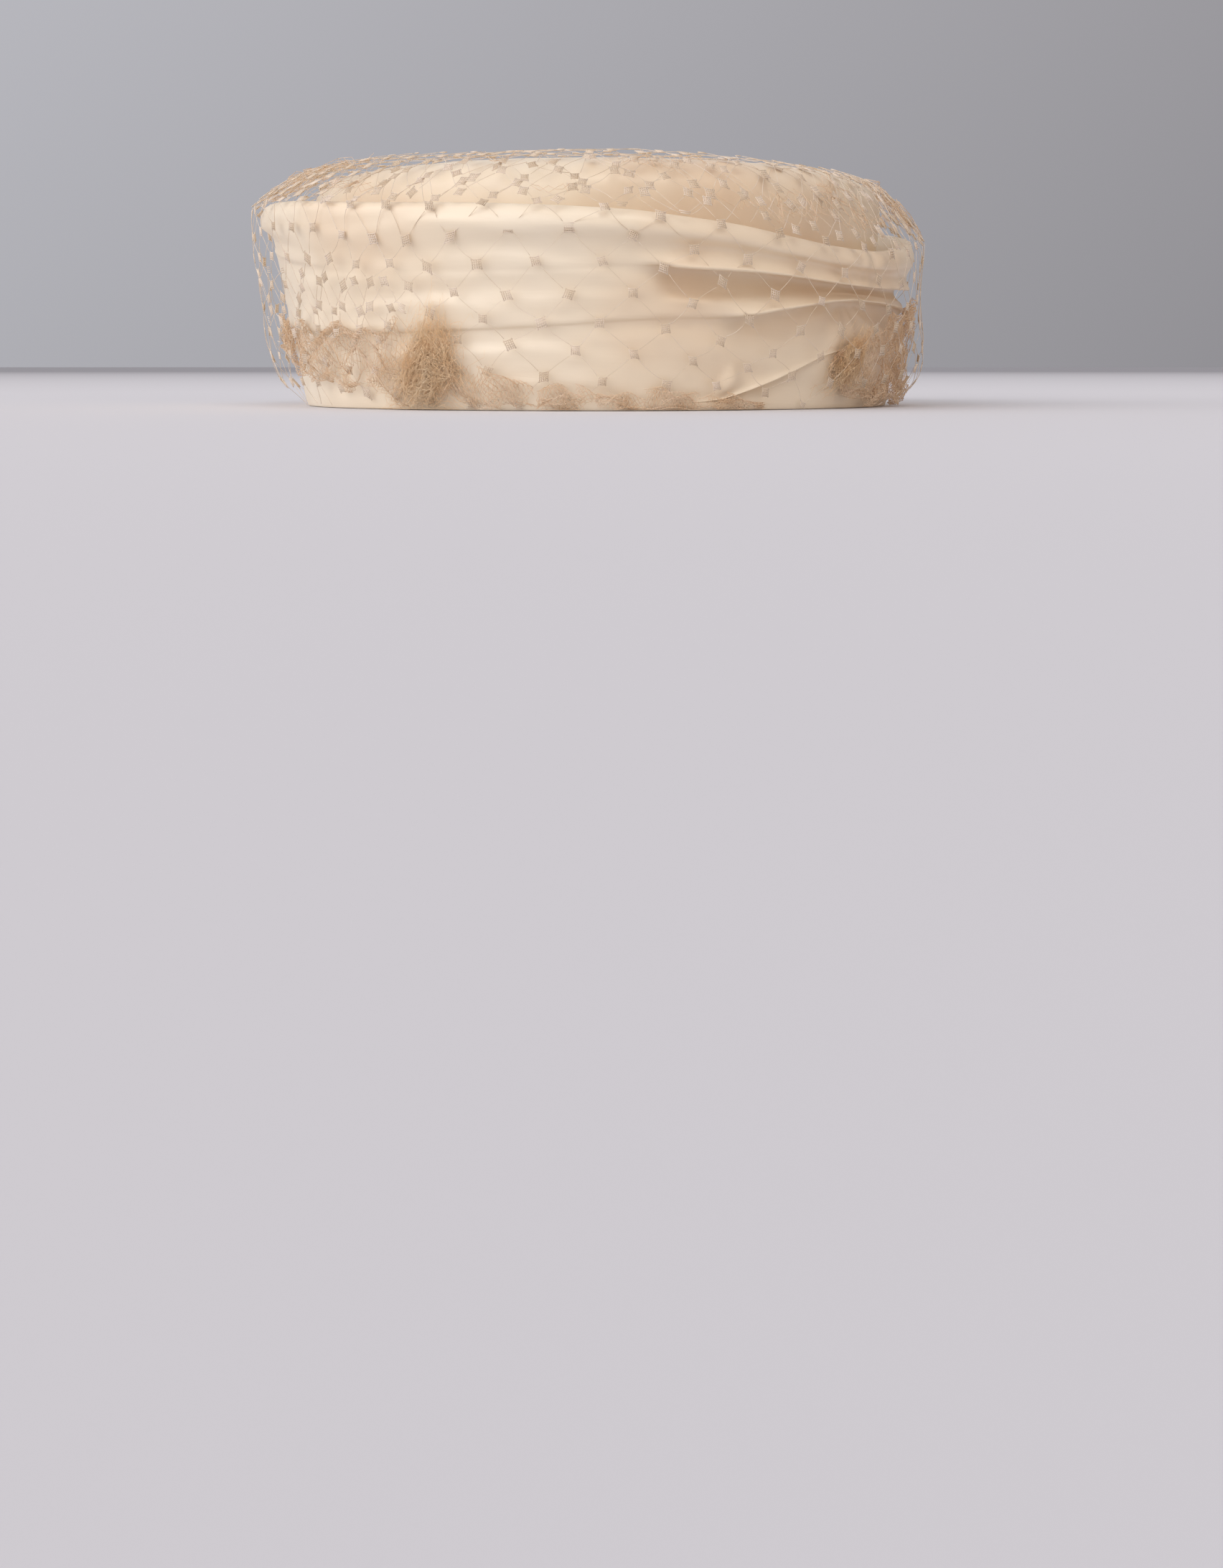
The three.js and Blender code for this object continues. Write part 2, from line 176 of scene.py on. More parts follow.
def waves(u, v, seed, pitch, count=7):
    """Uneven waves over two lengths: the sum of `count` sine waves of seeded directions, lengths and
    phases, scaled to a root mean square of 1."""
    random = np.random.default_rng(seed)
    total = 0.0
    for _ in range(count):
        turn, phase = random.uniform(0, 2 * np.pi, 2)
        length = pitch * random.uniform(0.8, 2.0)
        total = total + np.sin(2 * np.pi * (u * np.cos(turn) + v * np.sin(turn)) / length + phase)
    return total * math.sqrt(2 / count)


# --------------------------------------------------
# Meshes from arrays
# --------------------------------------------------


def enclosed(points, faces):
    """The volume inside four-sided faces: the sum of the tetrahedra between the origin and their two
    halves."""
    a, b, c, d = (points[faces[:, k]] for k in range(4))
    halves = np.einsum("ij,ij->i", a, np.cross(b, c)) + np.einsum("ij,ij->i", a, np.cross(c, d))
    return halves.sum() / 6


def add_piece(name, points, faces, material, node, uv=None):
    """Puts points, in millimetres, and four-sided faces into a new object that rides on the hat's body,
    stands for a CAD node and takes its finish from a slot. The faces are turned round if they enclose a
    negative volume."""
    faces = faces if enclosed(points, faces) > 0 else faces[:, ::-1]
    mesh = bpy.data.meshes.new(name)
    mesh.vertices.add(len(points))
    mesh.vertices.foreach_set("co", (points * MM).astype(np.float32).ravel())
    mesh.loops.add(faces.size)
    mesh.loops.foreach_set("vertex_index", faces.astype(np.int32).ravel())
    mesh.polygons.add(len(faces))
    mesh.polygons.foreach_set("loop_start", np.arange(0, faces.size, 4, dtype=np.int32))
    mesh.update(calc_edges=True)
    mesh.shade_smooth()
    if uv is not None:
        layer = mesh.uv_layers.new(name="surface")
        layer.data.foreach_set("uv", uv[faces].astype(np.float32).ravel())
    mesh.materials.append(material)
    piece = bpy.data.objects.new(name, mesh)
    bpy.context.scene.collection.objects.link(piece)
    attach(piece, "root")
    if node:
        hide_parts(node)
    return piece


def grid_faces(rows, columns, rows_close, columns_close):
    """The four-sided faces between neighbours of a grid of points, row by row. A grid that closes joins
    its last row or column to its first."""
    i, j = np.meshgrid(
        np.arange(rows if rows_close else rows - 1),
        np.arange(columns if columns_close else columns - 1),
        indexing="ij",
    )
    right, down = (j + 1) % columns, (i + 1) % rows
    corners = [i * columns + j, i * columns + right, down * columns + right, down * columns + j]
    return np.stack(corners, axis=-1).reshape(-1, 4)


def spline_weights(controls, samples, closed):
    """The share of each control point in each point of a uniform cubic B-spline, `samples` points to a
    stretch. An open one starts and ends on its end controls, which count three times."""
    count = controls if closed else controls + 1
    place = np.arange(count * samples + (0 if closed else 1)) / samples
    stretch = np.minimum(place.astype(int), count - 1)
    t = place - stretch
    shares = np.stack([
        (1 - t) ** 3,
        3 * t**3 - 6 * t**2 + 4,
        -3 * t**3 + 3 * t**2 + 3 * t + 1,
        t**3,
    ], axis=-1) / 6  # fmt: skip
    weights = np.zeros((len(place), controls))
    for k in range(4):
        control = stretch + k - (1 if closed else 2)
        control = control % controls if closed else np.clip(control, 0, controls - 1)
        np.add.at(weights, (np.arange(len(place)), control), shares[:, k])
    return weights


def tubes(lines, radius):
    """Square-sectioned threads along lines of shape (thread, point, 3): at each point, four corners at
    the radius from the line, in the plane across it, with a face between neighbours and one at each
    end."""
    along = np.gradient(lines, axis=1)
    along /= np.linalg.norm(along, axis=-1, keepdims=True) + 1e-9
    outward = (lines - AXIS) * (1, 1, 3) + (0, 0, 1e-3)
    across = np.cross(along, outward)
    across /= np.linalg.norm(across, axis=-1, keepdims=True) + 1e-9
    upward = np.cross(across, along)
    angle = np.pi / 2 * np.arange(4)[:, None]
    wide = np.broadcast_to(np.asarray(radius, float), lines.shape[:2])[..., None, None]
    corners = lines[:, :, None] + wide * (
        np.cos(angle) * across[:, :, None] + np.sin(angle) * upward[:, :, None]
    )
    count, length = lines.shape[:2]
    one = grid_faces(length, 4, False, True)
    ends = np.array([[3, 2, 1, 0], [0, 1, 2, 3]]) + np.array([[0], [4 * (length - 1)]])
    one = np.concatenate([one, ends])
    faces = one[None] + 4 * length * np.arange(count)[:, None, None]
    return corners.reshape(-1, 3), faces.reshape(-1, 4)


def joined(parts):
    """Several lots of points and faces as one."""
    starts = np.cumsum([0] + [len(points) for points, _ in parts[:-1]])
    points = np.concatenate([points for points, _ in parts])
    faces = np.concatenate([faces + start for start, (_, faces) in zip(starts, parts)])
    return points, faces


# --------------------------------------------------
# Materials
# --------------------------------------------------


def colour(hex_value):
    """An sRGB hex value as linear red, green, blue and alpha."""
    srgb = [int(hex_value[i : i + 2], 16) / 255 for i in (1, 3, 5)]
    return (*[c / 12.92 if c <= 0.04045 else ((c + 0.055) / 1.055) ** 2.4 for c in srgb], 1.0)


def node(tree, kind, settings=(), inputs=(), links=()):
    """Adds a node: settings are its own values, inputs its sockets' values, and links the sockets that
    feed it."""
    made = tree.nodes.new(kind)
    for name, value in dict(settings).items():
        setattr(made, name, value)
    for name, value in dict(inputs).items():
        made.inputs[name].default_value = value
    for name, source in dict(links).items():
        tree.links.new(source, made.inputs[name])
    return made


def new_material(name):
    """An empty node material and its tree."""
    material = bpy.data.materials.new(name)
    material.use_nodes = True
    material.node_tree.nodes.clear()
    return material, material.node_tree


def ramp(tree, source, stops):
    """Colours, or greys, by a value: a colour ramp with these (place, hex) stops."""
    made = node(tree, "ShaderNodeValToRGB", links={"Fac": source})
    elements = made.color_ramp.elements
    while len(elements) < len(stops):
        elements.new(0.5)
    for element, (place, hex_value) in zip(elements, stops):
        element.position = place
        element.color = colour(hex_value)
    return made.outputs["Color"]


def uneven_tint(tree, stops, scale, detail, roughness):
    """Colours, by (place, hex) stops, that change from place to place by noise."""
    place = node(tree, "ShaderNodeTexCoord").outputs["Object"]
    noise = node(
        tree, "ShaderNodeTexNoise",
        inputs={"Scale": scale, "Detail": detail, "Roughness": roughness},
        links={"Vector": place},
    )
    return ramp(tree, noise.outputs["Fac"], stops)


def duchesse_satin():
    """Heavy woven satin, aged to cream. Long floats on its face give a broad soft gloss that runs along
    the folds, and age has yellowed it unevenly towards peach."""
    material, tree = new_material("duchesse_satin")
    stops = [(0.36, "#f1e4ce"), (0.52, "#eedec5"), (0.68, "#e9d2b5")]
    tint = uneven_tint(tree, stops, scale=14.0, detail=3.0, roughness=0.5)
    cloth = node(tree, "ShaderNodeUVMap", settings={"uv_map": "surface"}).outputs["UV"]

    def streaks(cells, detail, roughness):
        """Noise with so many cells to a metre along the band and across it."""
        drawn = node(tree, "ShaderNodeMapping", inputs={"Scale": (*cells, 1)}, links={"Vector": cloth})
        noise = node(
            tree, "ShaderNodeTexNoise",
            inputs={"Scale": 1.0, "Detail": detail, "Roughness": roughness},
            links={"Vector": drawn.outputs["Vector"]},
        )
        return noise.outputs["Fac"]

    # The floats lie along the band, about 0.1 mm apart. They are drawn 0.6 mm apart, or they would not
    # show.
    floats = streaks((60, 1700), 2.0, 0.6)
    pucker = streaks((22, 160), 3.0, 0.55)
    fine = node(
        tree, "ShaderNodeBump",
        inputs={"Strength": 0.12, "Distance": 0.00015},
        links={"Height": floats},
    )
    broad = node(
        tree, "ShaderNodeBump",
        inputs={"Strength": 0.3, "Distance": 0.0006},
        links={"Height": pucker, "Normal": fine.outputs["Normal"]},
    )
    shader = node(
        tree, "ShaderNodeBsdfPrincipled",
        inputs={
            "Roughness": 0.38,
            "IOR": 1.5,
            "Specular IOR Level": 0.65,
            "Anisotropic": 0.4,
            "Sheen Weight": 0.1,
            "Sheen Roughness": 0.35,
            "Sheen Tint": colour("#fff1d8"),
        },
        links={"Base Color": tint, "Normal": broad.outputs["Normal"]},
    )
    node(tree, "ShaderNodeOutputMaterial", links={"Surface": shader.outputs["BSDF"]})
    return material


def cotton_tape():
    """Plain woven cotton tape for the facing: matte, taupe, with a fine crosswise rib and a little
    soiling."""
    material, tree = new_material("cotton_tape")
    stops = [(0.35, "#ccb99d"), (0.55, "#bfab8f"), (0.75, "#a8937a")]
    tint = uneven_tint(tree, stops, scale=45.0, detail=5.0, roughness=0.6)
    cloth = node(tree, "ShaderNodeUVMap", settings={"uv_map": "surface"}).outputs["UV"]
    # A wave texture of scale 1 repeats every 0.314 m, so the ribs are 1.6 mm apart: twice as coarse as
    # they are, so that they show.
    ribs = node(
        tree, "ShaderNodeTexWave",
        settings={"wave_type": "BANDS", "bands_direction": "X"},
        inputs={"Scale": 199.04, "Distortion": 0.6, "Detail": 1.0},
        links={"Vector": cloth},
    )
    raised = node(
        tree, "ShaderNodeBump",
        inputs={"Strength": 0.5, "Distance": 0.0002},
        links={"Height": ribs.outputs["Fac"]},
    )
    shader = node(
        tree, "ShaderNodeBsdfPrincipled",
        inputs={"Roughness": 0.92, "IOR": 1.45, "Sheen Weight": 0.15, "Sheen Roughness": 0.5},
        links={"Base Color": tint, "Normal": raised.outputs["Normal"]},
    )
    node(tree, "ShaderNodeOutputMaterial", links={"Surface": shader.outputs["BSDF"]})
    return material


def rayon_thread(name, stops):
    """Twisted rayon yarn: dull with a slight lustre, and browner where it is soiled."""
    material, tree = new_material(name)
    tint = uneven_tint(tree, stops, scale=120.0, detail=3.0, roughness=0.6)
    shader = node(
        tree, "ShaderNodeBsdfPrincipled",
        inputs={"Roughness": 0.6, "IOR": 1.5, "Sheen Weight": 0.3, "Sheen Roughness": 0.4},
        links={"Base Color": tint},
    )
    node(tree, "ShaderNodeOutputMaterial", links={"Surface": shader.outputs["BSDF"]})
    return material


def paper_with_painted_falloff():
    """Smooth background paper with a painted falloff of light: pale under the hat and greyer further out,
    as if less lit away from it, so that it meets the room softly."""
    material, tree = new_material("paper_with_painted_falloff")
    place = node(tree, "ShaderNodeTexCoord").outputs["Object"]
    away = node(tree, "ShaderNodeVectorMath", settings={"operation": "LENGTH"}, links={0: place})
    share = node(tree, "ShaderNodeMath", settings={"operation": "DIVIDE"},
                 inputs={1: 5.0}, links={0: away.outputs["Value"]})
    # painted light: pale near the hat and darker grey with distance, standing in for the light falling off
    tint = ramp(tree, share.outputs["Value"], [(0.08, "#d6d5d9"), (0.9, "#929196")])
    shader = node(tree, "ShaderNodeBsdfPrincipled", inputs={"Roughness": 0.9}, links={"Base Color": tint})
    node(tree, "ShaderNodeOutputMaterial", links={"Surface": shader.outputs["BSDF"]})
    return material


satin = duchesse_satin()
tape = cotton_tape()
net_thread = rayon_thread("rayon_net_thread", [(0.35, "#ecdccb"), (0.55, "#decbb3"), (0.75, "#cbb599")])
bunched_thread = rayon_thread("rayon_bunched_net",
                              [(0.35, "#efd6ba"), (0.55, "#e6c7a3"), (0.72, "#d4ad86")])
tufted_thread = rayon_thread("rayon_tufted_net", [(0.35, "#f8e0bc"), (0.55, "#f1cfa2"), (0.72, "#deae7b")])
sewing_thread = rayon_thread("sewing_thread", [(0.4, "#cbb795"), (0.7, "#b39a77")])

# --------------------------------------------------
# The draped satin band
# --------------------------------------------------

BAND_STEPS = 540  # sections round the hat
BAND_SAMPLES = 4  # points to each stretch of a section

# The section of a fold, from the satin below it to the satin above it: how far each control point stands
# out from the lean of the band, and how far it lies above the fold line.
PLAIN_FOLD = np.array([
    (0, -5), (-0.05, -2.6), (-0.14, -1.0), (-0.22, -0.2), (-0.22, 0.5), (-0.1, 1.4), (0, 3), (0.1, 5),
])  # fmt: skip
LAPPED_OVER = np.array([
    (-0.9, -5), (-1.7, -1.8), (-1.8, 1.1), (-0.4, 1.4), (1.3, -0.9), (2.7, 0.0), (0.9, 1.4), (-0.7, 4.4),
])  # fmt: skip
LAPPED_UNDER = LAPPED_OVER[::-1] * (1, -1)
# How much of the hollow under a fold each of its points takes.
HOLLOW_SHARE = np.array([0.75, 1.0, 0.9, 0.3, 0, 0, 0, 0])
FOLD_HALF = 5  # half the height of a fold
FOLD_ROOM = 0.4  # the most of the way to its neighbour that it takes up
LOW_TIER_SWELL, MID_TIER_SWELL = 0.4, 0.35  # how far the satin swells between the folds
TUCK_DEPTH = 6.5  # from the band's top edge down to where it meets the crown
TUCK_IN = 0.7  # how far the control points there lie inside the crown's side


def lean_radius(row, height):
    """The straight lean of the band, from the rim to the top edge."""
    return RIM_RADIUS + row["lean"] * height / row["edge"]


def fold_controls(row, height, lap, hollow, below, above, depth):
    """Control points, as arrays of radius and height, of a fold at that height. The shape lies between
    the plain crease and the lap over or under, and is squeezed where its neighbours below and above are
    near."""
    shape = PLAIN_FOLD[:, :, None] * depth
    shape = shape + np.maximum(lap, 0) * (LAPPED_OVER - PLAIN_FOLD)[:, :, None]
    shape = shape + np.maximum(-lap, 0) * (LAPPED_UNDER - PLAIN_FOLD)[:, :, None]
    room = np.where(shape[:, 1] < 0, height - below, above - height) * FOLD_ROOM / FOLD_HALF
    up = shape[:, 1] * np.minimum(room, 1)
    below_it = smooth_step(lap, -0.3, 0.1)
    taken = HOLLOW_SHARE[:, None] * below_it + HOLLOW_SHARE[::-1, None] * (1 - below_it)
    out = shape[:, 0] - taken * hollow
    at = height + up
    return np.stack([lean_radius(row, at) + out, at], axis=-1)


def tier_control(row, below, above, bulge):
    """The one control point at the middle of a tier, which makes it swell."""
    middle = (below + above) / 2
    return np.stack([lean_radius(row, middle) + bulge, middle], axis=-1)[None]


def band_controls(azimuth):
    """The closed section of the band: up its outside through three folds, over the rolled top edge, down
    to the crown, and back down inside. The result is (section, control point, radius and height)."""
    row = section(azimuth)
    ones = np.ones_like(azimuth)
    edge, upper, lower = row["edge"], row["upper"], row["lower"]
    third = np.clip(row["third"], 1.2, lower - 4)
    lap_third = np.clip(row["lap_third"], 0, 1)

    def at(radius, height):
        """One control point of every section."""
        return np.stack([radius * ones, height * ones], axis=-1)[None]

    foot = [at(BAND_FOOT, 0.05), at(RIM_RADIUS - 0.1, 0.05), at(RIM_RADIUS + 0.35, 0.7)]
    outside = [
        fold_controls(row, third, lap_third, 0.0, 0.9 * ones, lower, lap_third),
        tier_control(row, third, lower, LOW_TIER_SWELL - 0.6 * row["hollow_lower"]),
        fold_controls(row, lower, row["lap_lower"], row["hollow_lower"], third, upper, 1.0),
        tier_control(row, lower, upper, MID_TIER_SWELL - 0.9 * row["hollow_upper"]),
        fold_controls(row, upper, row["lap_upper"], row["hollow_upper"], lower, edge, 1.0),
        tier_control(row, upper, edge, row["swell"]),
    ]
    widest = RIM_RADIUS + row["lean"]
    meets = edge - TUCK_DEPTH
    crown = crown_side(meets) - TUCK_IN
    rolled = [
        at(widest + 0.9, edge - 5),
        at(widest + 0.75, edge - 2.2),
        at(widest - 0.6, edge + 0.5),
        at(widest - 3.4, edge + 0.6),
        at(widest - 6.0, edge - 1.4),
        at((widest - 6 + crown) / 2, edge - 4.2),
        at(crown + 0.4, meets + 0.2),
        at(crown + 0.3, meets - 1.4),
        at(crown + WALL + 0.9, meets - 1.8),
        at(widest - 5.5, edge - 5.5),
    ]
    inside = []
    for share in (0.8, 0.6, 0.4, 0.2, 0.06):
        slack = 1.2 + 4.5 * smooth_step(share, 0.2, 0.5)
        inside.append(at(lean_radius(row, edge * share) - WALL - slack, edge * share))
    inside.append(at(BAND_FOOT - WALL, 0.4))
    return np.concatenate([*foot, *outside, *rolled, *inside]).transpose(1, 0, 2)


def crown_side(height):
    """The crown's outer radius on its side, which leans out from the opening to the shoulder."""
    return OPENING_RADIUS + WALL + (CROWN_RADIUS - OPENING_RADIUS - WALL) * height / CROWN_EDGE


# Azimuth and height of the place at the right where the folds meet, and of the start of the third fold.
FOLDS_MEET = (50, 32)
PINCHED_AT = (20.8, 3.2)


def band_dents(azimuth, height):
    """How far the satin stands in or out by its soft dents: shallow ripples along the band and deeper
    ones at the front, drags towards the place at the right where the folds meet, and the pinch at the rim
    where the third fold starts."""
    front = np.sin(np.radians(azimuth) / 2) ** 4
    soft = 0.22 * ripples(azimuth, height, 11, 7, 9.0) + 0.1 * ripples(azimuth, height, 12, 26, 5.0)
    soft = soft + 0.4 * front * ripples(azimuth, height, 13, 14, 14.0)
    right, up = (azimuth - FOLDS_MEET[0]) * DEGREE, height - FOLDS_MEET[1]
    drags = 0.35 * np.sin(9 * np.arctan2(up, right) + 1.0) * swell(np.hypot(right, up) - 13, 14)
    right, up = (azimuth - PINCHED_AT[0]) * DEGREE, height - PINCHED_AT[1]
    along, across = 0.68 * right + 0.73 * up, 0.73 * right - 0.68 * up
    pinch = 1.7 * swell(along - 6.0, 6.0) * swell(across, 1.0 + 0.4 * np.maximum(along, 0))
    return soft + drags + pinch


def make_band():
    """The satin band: the sections of band_controls as B-splines, joined round the hat, with the dents
    added to the outside."""
    azimuth = np.arange(BAND_STEPS) * 360 / BAND_STEPS - 180
    controls = band_controls(azimuth)
    weights = spline_weights(controls.shape[1], BAND_SAMPLES, closed=True)
    profile = np.einsum("mk,nkd->nmd", weights, controls)
    radius, height = profile[..., 0], profile[..., 1]
    turned = np.broadcast_to(azimuth[:, None], radius.shape)
    row = section(azimuth)
    lean = lean_radius({key: value[:, None] for key, value in row.items()}, height)
    outer = smooth_step(radius, lean - 6, lean - 4)
    level = smooth_step(height, 0.5, 3)
    radius = radius + band_dents(turned, height) * outer * level
    points = ring_points(radius, turned, height)
    rows, columns = radius.shape
    across = np.cumsum(np.hypot(np.diff(radius, axis=1, prepend=radius[:, :1]),
                                np.diff(height, axis=1, prepend=height[:, :1])), axis=1)
    uv = np.stack([np.radians(turned) * RIM_RADIUS * MM, across * MM], axis=-1).reshape(-1, 2)
    faces = grid_faces(rows, columns, True, True)
    return add_piece("satin_band", points.reshape(-1, 3), faces, satin, "draped_band", uv)


# --------------------------------------------------
# The crown and the facing
# --------------------------------------------------

CROWN_STEPS = 256
CROWN_POLE = 0.01  # radius of the ring that closes the top

# The top of the crown, from its middle out: the share of its radius, and how far it has dropped there.
CROWN_DOME = ((0.2, 0.1), (0.45, 0.5), (0.68, 1.2), (0.84, 2.2), (0.93, 4.2), (0.985, 8.0))


def make_crown():
    """The crown: one section, out over the domed top, round the shoulder, down the side and back up
    inside, carried round the hat. Shallow drags pull the satin over the shoulder."""
    foot = FACING_TOP + SEAM
    edge = CROWN_RADIUS
    dome = [(edge * share, CROWN_TOP - drop) for share, drop in CROWN_DOME]
    side = [(crown_side(height), height) for height in (40, 20, foot + 1)]
    outer = [(CROWN_POLE, CROWN_TOP), *dome, (edge * 1.003, CROWN_EDGE), *side]
    inner = []
    for radius, height in outer[:0:-1]:
        lower = min(height, CROWN_TOP - WALL)
        inner.append((
            radius - (WALL if radius > edge * 0.8 else 0),
            lower - (WALL * 0.9 if lower > CROWN_EDGE else 0),
        ))
    ends = [(crown_side(foot), foot), (crown_side(foot) - WALL, foot)]
    controls = np.array(outer + ends + inner + [(CROWN_POLE, CROWN_TOP - WALL)], float)
    profile = spline_weights(len(controls), 4, closed=False) @ controls
    azimuth = np.arange(CROWN_STEPS) * 360 / CROWN_STEPS
    radius = np.broadcast_to(profile[:, 0], (CROWN_STEPS, len(profile)))
    height = np.broadcast_to(profile[:, 1], radius.shape)
    turned = np.broadcast_to(azimuth[:, None], radius.shape)
    outside = np.arange(len(profile)) < len(profile) * 0.42  # the top and most of the side
    top = smooth_step(radius, 0, 45) * swell(radius, 80) * outside
    shoulder = swell(radius - edge * 0.9, 14) * outside
    sag = 0.4 * ripples(turned, radius, 21, 5, 60.0) * top
    height = height + sag + 0.12 * shoulder * ripples(turned, radius, 22, 40, 30.0)
    points = ring_points(radius, turned, height)
    uv = np.stack([points[..., 0] * MM, points[..., 1] * MM], axis=-1).reshape(-1, 2)
    faces = grid_faces(CROWN_STEPS, len(profile), True, False)
    return add_piece("satin_crown", points.reshape(-1, 3), faces, satin, "crown", uv)


FACING_STEPS = 480
STITCHES = 104  # about 5.5 mm apart


def make_facing():
    """The facing: a flat tape with round edges, drawn up and out a little at each stitch round it."""
    inner, outer, top = OPENING_RADIUS, FACING_RADIUS, FACING_TOP
    controls = np.array([
        (inner + 0.6, 0.0), (inner + 3, 0.0), (outer - 3, 0.0), (outer - 1.2, 0.02),
        (outer - 0.1, 0.25), (outer, 1.0), (outer - 0.4, top), (outer - 3, top),
        (inner + 3, top), (inner + 0.5, top), (inner, 1.2), (inner, 0.5),
    ])  # fmt: skip
    profile = spline_weights(len(controls), 3, closed=True) @ controls
    azimuth = np.arange(FACING_STEPS) * 360 / FACING_STEPS
    turned = np.broadcast_to(azimuth[:, None], (FACING_STEPS, len(profile)))
    drawn = 0.5 + 0.5 * np.cos(np.radians(turned) * STITCHES)
    near_edge = smooth_step(profile[:, 0], outer - 4, outer)
    radius = profile[:, 0] - 0.25 * (1 - drawn) * near_edge
    height = profile[:, 1] + 0.25 * drawn * near_edge * swell(profile[:, 1], 1.5)
    points = ring_points(radius, turned, height)
    uv = np.stack([np.radians(turned) * outer * MM, radius * MM], axis=-1).reshape(-1, 2)
    faces = grid_faces(FACING_STEPS, len(profile), True, True)
    return add_piece("tape_facing", points.reshape(-1, 3), faces, tape, "rim_facing", uv)


def make_stitches():
    """Slip stitches across the seam between the facing and the band's foot: short arched threads,
    aslant."""
    random = np.random.default_rng(31)
    start = (np.arange(STITCHES) + random.uniform(-0.12, 0.12, STITCHES)) * 360 / STITCHES
    t = np.linspace(0, 1, 7)
    azimuth = start[:, None] + t * random.uniform(0.9, 1.5, STITCHES)[:, None]
    radius = FACING_RADIUS - 0.9 + 2.2 * t
    height = 0.12 + 0.1 * np.sin(np.pi * t)
    lines = ring_points(radius, azimuth, np.broadcast_to(height, azimuth.shape))
    points, faces = tubes(lines, 0.11 * np.sqrt(np.sin(np.pi * (0.06 + 0.88 * t))))
    return add_piece("rim_stitches", points, faces, sewing_thread, None)


# --------------------------------------------------
# The net veil
# --------------------------------------------------

NET_COLUMNS = 41  # knots in a row round the hat
MESH_HALF_WIDE = 8.3  # half width and half height of a mesh of the net
MESH_HALF_TALL = 7.45
KNOT = 2.9  # side of a knot
THREAD = 0.075  # radius of the net's thread
KNOT_THREAD = 0.14  # radius of a strand of a knot
DOUBLED_AT, DOUBLED_HALF = -54, 21  # azimuth and half width of the doubled net at the left back
NET_TURN = np.array([(0.94, -0.34), (0.34, 0.94)])  # the net lies turned by 20 degrees over the crown

# The veil's path over the crown: by the distance from the band's top edge, the share of the radius at
# that edge, and the share of the rise from the edge to the top of the crown.
OVER = np.array([
    (0, 1.000, 0.00),
    (4, 0.975, 0.16),
    (11, 0.912, 0.46),
    (20, 0.828, 0.76),
    (33, 0.700, 0.92),
    (55, 0.485, 0.99),
    (80, 0.240, 1.00),
    (104, 0.000, 1.00),
])  # fmt: skip


def veil_hang(row, share):
    """How far the veil hangs off the satin, at a share of the height of the band's top edge."""
    return 1.4 + row["slack"] * (0.35 + 0.65 * np.sin(np.pi * (0.12 + 0.88 * share)) ** 0.8)


def veil_over(row, azimuth, share, lift):
    """The veil over the crown, at a share of its radius at the band's top edge: it follows OVER, a little
    crumpled. Another layer of net lies further off by its lift."""
    edge = row["edge"]
    rise = cubic(OVER[::-1, 1], OVER[::-1, 2], share)
    inward = smooth_step(1 - share, 0.0, 0.1)
    crumple = 0.45 * ripples(azimuth, share * 95, 43, 12, 18.0) * inward * np.minimum(share * 4, 1)
    height = edge + rise * (CROWN_TOP + 1.0 - edge) + crumple + lift * inward
    return ring_points((lean_radius(row, edge) + veil_hang(row, 1.0) + lift) * share, azimuth, height)


def veil_points(flat, lift):
    """The veil's surface by (azimuth, distance from the band's top edge), which is negative down its
    side. The side follows the lean of the satin and hangs off it."""
    azimuth, distance = flat[..., 0], flat[..., 1]
    row = section(azimuth)
    height = row["edge"] + np.minimum(distance, 0)
    flutter = (0.15 + 0.13 * row["slack"]) * ripples(azimuth, distance, 41, 12, 26.0)
    hang = veil_hang(row, np.clip(height / row["edge"], 0, 1)) * (0.6 + 0.4 * smooth_step(height, 0, 9))
    side = ring_points(lean_radius(row, height) + hang + flutter + lift, azimuth, np.maximum(height, 0.45))
    over = veil_over(row, azimuth, cubic(OVER[:, 0], OVER[:, 1], np.maximum(distance, 0)), lift)
    return np.where(distance[..., None] > 0, over, side)


def crown_points(flat):
    """The veil over the crown by plan (x, y) from the hat's axis: the azimuth and the share of the radius
    there."""
    azimuth, radius = plan_ring(flat)
    row = section(azimuth)
    share = np.clip(radius / (lean_radius(row, row["edge"]) + veil_hang(row, 1.0)), 0, 1)
    return veil_over(row, azimuth, share, 0.0)


def plan_ring(flat):
    """The azimuth and the radius of the ring through a place in plan."""
    x, y = flat[..., 0], flat[..., 1] / DEPTH_RATIO
    return np.degrees(np.arctan2(x, -y)), np.hypot(x, y)


def crowding(azimuth):
    """How closely the net's columns stand at an azimuth, against their mean: gathered at the left and
    right backs."""
    return 1 + 0.5 * swell(azimuth + 52, 42) + 0.35 * swell(azimuth - 72, 34)


def column_azimuths(column):
    """The azimuth of each column: where the running sum of the crowding reaches it, with column 0 near
    the back."""
    azimuth = np.linspace(-180, 180, 1441)
    running = np.concatenate([[0], np.cumsum(crowding((azimuth[1:] + azimuth[:-1]) / 2))])
    running *= NET_COLUMNS / running[-1]
    running -= np.interp(0.8, azimuth, running)
    turns = np.floor((column - running[0]) / NET_COLUMNS)
    return np.interp(column - turns * NET_COLUMNS, running, azimuth) + 360 * turns


